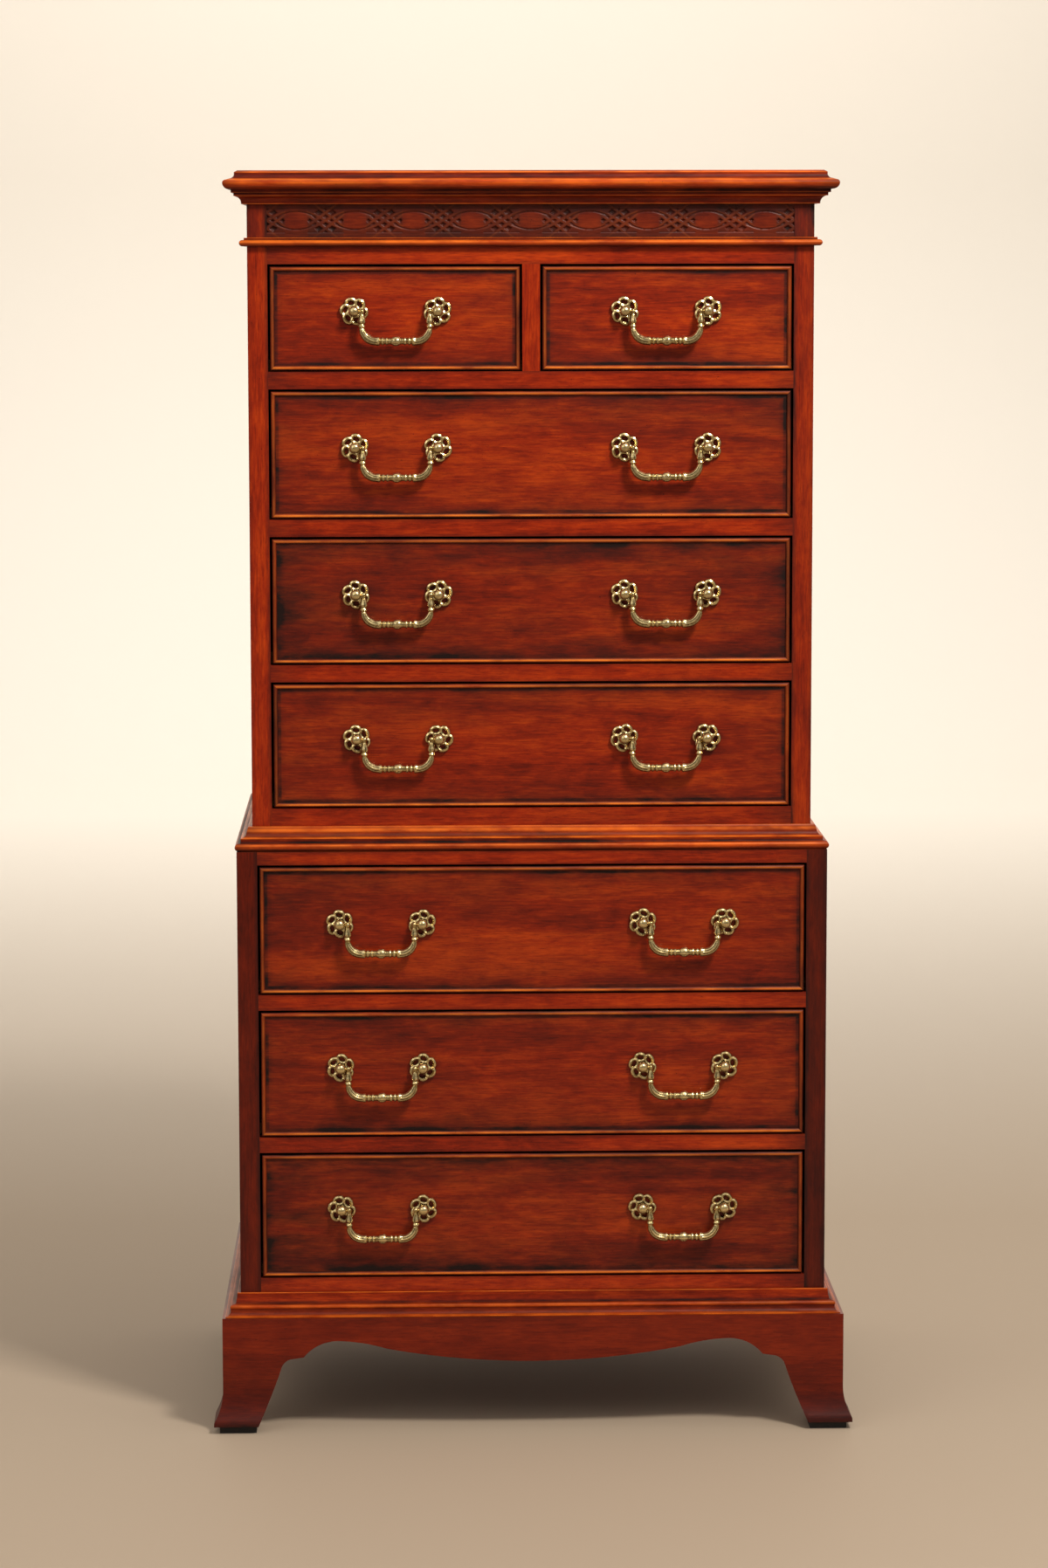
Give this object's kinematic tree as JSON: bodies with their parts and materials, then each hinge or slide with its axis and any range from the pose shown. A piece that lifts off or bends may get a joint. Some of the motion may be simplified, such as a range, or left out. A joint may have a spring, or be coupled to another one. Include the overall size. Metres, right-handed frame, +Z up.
{
  "type": "chest-on-chest",
  "caption": "Tall mahogany chest-on-chest with cockbeaded drawers, swinging brass bail pulls, a carved fret frieze, moulded cornice and bracket feet.",
  "frame": {"origin": "on the floor, at the centre of the footprint of the feet and back", "axes": "+Z up, the drawers face and open towards -Y, +X to the right of someone facing the drawers"},
  "size_m": [0.6954, 0.4792, 1.3619],
  "materials": {
    "mahogany_case": "semi-gloss red-brown mahogany, glazed dark in the corners",
    "mahogany_drawer": "semi-gloss figured mahogany with a dark glaze at the edges",
    "mahogany_bead": "rubbed orange-brown bead",
    "mahogany_moulding": "semi-gloss, rubbed lighter on the edges",
    "secondary_wood": "plain satin secondary timber",
    "antique_brass": "antiqued, bright on the high spots",
    "black_pad": "matte black"
  },
  "bodies": {
    "case": {"bracket_plinth": "mahogany_case", "foot_blocks": "secondary_wood", "foot_pads": "black_pad", "base_moulding": "mahogany_moulding", "lower_case_boards": "mahogany_case", "upper_case_boards": "mahogany_case", "back_panels": "secondary_wood", "lower_face_frame": "mahogany_case", "upper_face_frame": "mahogany_case", "drawer_runners": "secondary_wood", "waist_moulding": "mahogany_moulding", "frieze_panel": "mahogany_case", "astragal": "mahogany_moulding", "cornice": "mahogany_moulding"},
    "top_left_drawer": {"top_left_drawer_front": "mahogany_drawer", "top_left_drawer_cockbead": "mahogany_bead", "top_left_drawer_box": "secondary_wood", "top_left_drawer_pull_plates": "antique_brass"},
    "top_left_drawer_bail": {"top_left_drawer_bail": "antique_brass"},
    "top_right_drawer": {"top_right_drawer_front": "mahogany_drawer", "top_right_drawer_cockbead": "mahogany_bead", "top_right_drawer_box": "secondary_wood", "top_right_drawer_pull_plates": "antique_brass"},
    "top_right_drawer_bail": {"top_right_drawer_bail": "antique_brass"},
    "upper_drawer_1": {"upper_drawer_1_front": "mahogany_drawer", "upper_drawer_1_cockbead": "mahogany_bead", "upper_drawer_1_box": "secondary_wood", "upper_drawer_1_pull_plates": "antique_brass"},
    "upper_drawer_1_left_bail": {"upper_drawer_1_left_bail": "antique_brass"},
    "upper_drawer_1_right_bail": {"upper_drawer_1_right_bail": "antique_brass"},
    "upper_drawer_2": {"upper_drawer_2_front": "mahogany_drawer", "upper_drawer_2_cockbead": "mahogany_bead", "upper_drawer_2_box": "secondary_wood", "upper_drawer_2_pull_plates": "antique_brass"},
    "upper_drawer_2_left_bail": {"upper_drawer_2_left_bail": "antique_brass"},
    "upper_drawer_2_right_bail": {"upper_drawer_2_right_bail": "antique_brass"},
    "upper_drawer_3": {"upper_drawer_3_front": "mahogany_drawer", "upper_drawer_3_cockbead": "mahogany_bead", "upper_drawer_3_box": "secondary_wood", "upper_drawer_3_pull_plates": "antique_brass"},
    "upper_drawer_3_left_bail": {"upper_drawer_3_left_bail": "antique_brass"},
    "upper_drawer_3_right_bail": {"upper_drawer_3_right_bail": "antique_brass"},
    "lower_drawer_1": {"lower_drawer_1_front": "mahogany_drawer", "lower_drawer_1_cockbead": "mahogany_bead", "lower_drawer_1_box": "secondary_wood", "lower_drawer_1_pull_plates": "antique_brass"},
    "lower_drawer_1_left_bail": {"lower_drawer_1_left_bail": "antique_brass"},
    "lower_drawer_1_right_bail": {"lower_drawer_1_right_bail": "antique_brass"},
    "lower_drawer_2": {"lower_drawer_2_front": "mahogany_drawer", "lower_drawer_2_cockbead": "mahogany_bead", "lower_drawer_2_box": "secondary_wood", "lower_drawer_2_pull_plates": "antique_brass"},
    "lower_drawer_2_left_bail": {"lower_drawer_2_left_bail": "antique_brass"},
    "lower_drawer_2_right_bail": {"lower_drawer_2_right_bail": "antique_brass"},
    "lower_drawer_3": {"lower_drawer_3_front": "mahogany_drawer", "lower_drawer_3_cockbead": "mahogany_bead", "lower_drawer_3_box": "secondary_wood", "lower_drawer_3_pull_plates": "antique_brass"},
    "lower_drawer_3_left_bail": {"lower_drawer_3_left_bail": "antique_brass"},
    "lower_drawer_3_right_bail": {"lower_drawer_3_right_bail": "antique_brass"}
  },
  "joints": [
    {"name": "top_left_drawer_slide", "type": "slide", "parent": "case", "child": "top_left_drawer", "axis": [0, -1, 0], "range_m": [0, 0.32]},
    {"name": "top_left_drawer_bail_swing", "type": "hinge", "parent": "top_left_drawer", "child": "top_left_drawer_bail", "pos_m": [-0.1442, -0.204, 1.21335], "axis": [-1, 0, 0], "range_deg": [-12, 192]},
    {"name": "top_right_drawer_slide", "type": "slide", "parent": "case", "child": "top_right_drawer", "axis": [0, -1, 0], "range_m": [0, 0.32]},
    {"name": "top_right_drawer_bail_swing", "type": "hinge", "parent": "top_right_drawer", "child": "top_right_drawer_bail", "pos_m": [0.1442, -0.204, 1.21335], "axis": [-1, 0, 0], "range_deg": [-12, 192]},
    {"name": "upper_drawer_1_slide", "type": "slide", "parent": "case", "child": "upper_drawer_1", "axis": [0, -1, 0], "range_m": [0, 0.32]},
    {"name": "upper_drawer_1_left_bail_swing", "type": "hinge", "parent": "upper_drawer_1", "child": "upper_drawer_1_left_bail", "pos_m": [-0.1442, -0.204, 1.06835], "axis": [-1, 0, 0], "range_deg": [-12, 192]},
    {"name": "upper_drawer_1_right_bail_swing", "type": "hinge", "parent": "upper_drawer_1", "child": "upper_drawer_1_right_bail", "pos_m": [0.1442, -0.204, 1.06835], "axis": [-1, 0, 0], "range_deg": [-12, 192]},
    {"name": "upper_drawer_2_slide", "type": "slide", "parent": "case", "child": "upper_drawer_2", "axis": [0, -1, 0], "range_m": [0, 0.32]},
    {"name": "upper_drawer_2_left_bail_swing", "type": "hinge", "parent": "upper_drawer_2", "child": "upper_drawer_2_left_bail", "pos_m": [-0.1442, -0.204, 0.9114], "axis": [-1, 0, 0], "range_deg": [-12, 192]},
    {"name": "upper_drawer_2_right_bail_swing", "type": "hinge", "parent": "upper_drawer_2", "child": "upper_drawer_2_right_bail", "pos_m": [0.1442, -0.204, 0.9114], "axis": [-1, 0, 0], "range_deg": [-12, 192]},
    {"name": "upper_drawer_3_slide", "type": "slide", "parent": "case", "child": "upper_drawer_3", "axis": [0, -1, 0], "range_m": [0, 0.32]},
    {"name": "upper_drawer_3_left_bail_swing", "type": "hinge", "parent": "upper_drawer_3", "child": "upper_drawer_3_left_bail", "pos_m": [-0.1442, -0.204, 0.7555], "axis": [-1, 0, 0], "range_deg": [-12, 192]},
    {"name": "upper_drawer_3_right_bail_swing", "type": "hinge", "parent": "upper_drawer_3", "child": "upper_drawer_3_right_bail", "pos_m": [0.1442, -0.204, 0.7555], "axis": [-1, 0, 0], "range_deg": [-12, 192]},
    {"name": "lower_drawer_1_slide", "type": "slide", "parent": "case", "child": "lower_drawer_1", "axis": [0, -1, 0], "range_m": [0, 0.32]},
    {"name": "lower_drawer_1_left_bail_swing", "type": "hinge", "parent": "lower_drawer_1", "child": "lower_drawer_1_left_bail", "pos_m": [-0.1635, -0.2214, 0.55695], "axis": [-1, 0, 0], "range_deg": [-12, 192]},
    {"name": "lower_drawer_1_right_bail_swing", "type": "hinge", "parent": "lower_drawer_1", "child": "lower_drawer_1_right_bail", "pos_m": [0.1635, -0.2214, 0.55695], "axis": [-1, 0, 0], "range_deg": [-12, 192]},
    {"name": "lower_drawer_2_slide", "type": "slide", "parent": "case", "child": "lower_drawer_2", "axis": [0, -1, 0], "range_m": [0, 0.32]},
    {"name": "lower_drawer_2_left_bail_swing", "type": "hinge", "parent": "lower_drawer_2", "child": "lower_drawer_2_left_bail", "pos_m": [-0.1635, -0.2214, 0.3993], "axis": [-1, 0, 0], "range_deg": [-12, 192]},
    {"name": "lower_drawer_2_right_bail_swing", "type": "hinge", "parent": "lower_drawer_2", "child": "lower_drawer_2_right_bail", "pos_m": [0.1635, -0.2214, 0.3993], "axis": [-1, 0, 0], "range_deg": [-12, 192]},
    {"name": "lower_drawer_3_slide", "type": "slide", "parent": "case", "child": "lower_drawer_3", "axis": [0, -1, 0], "range_m": [0, 0.32]},
    {"name": "lower_drawer_3_left_bail_swing", "type": "hinge", "parent": "lower_drawer_3", "child": "lower_drawer_3_left_bail", "pos_m": [-0.1635, -0.2214, 0.2432], "axis": [-1, 0, 0], "range_deg": [-12, 192]},
    {"name": "lower_drawer_3_right_bail_swing", "type": "hinge", "parent": "lower_drawer_3", "child": "lower_drawer_3_right_bail", "pos_m": [0.1635, -0.2214, 0.2432], "axis": [-1, 0, 0], "range_deg": [-12, 192]}
  ]
}
